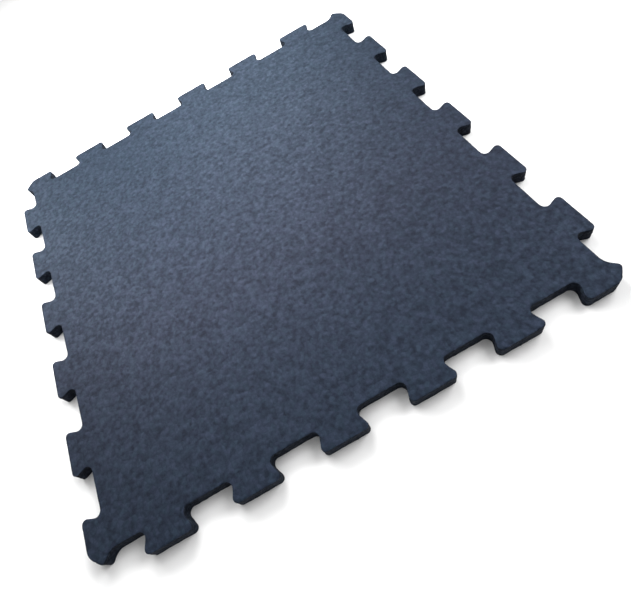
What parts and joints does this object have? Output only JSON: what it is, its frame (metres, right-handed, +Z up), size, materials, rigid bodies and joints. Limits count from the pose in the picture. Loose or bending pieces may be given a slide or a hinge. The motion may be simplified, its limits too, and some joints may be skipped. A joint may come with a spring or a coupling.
{
  "type": "interlocking rubber floor tile",
  "caption": "Flat square rubber granulate tile with dovetail tabs and sockets on all sides that lock to like tiles as gym flooring.",
  "frame": {"origin": "centre of the underside", "axes": "+Z up out of the walking face, X and Y along the sides, the side nearest the camera towards -Y"},
  "size_m": [0.5192, 0.5192, 0.015],
  "materials": {
    "rubber": "dull fine granulate, dark grey with a blue cast"
  },
  "bodies": {
    "root": {"rubber_tile": "rubber"}
  },
  "joints": []
}
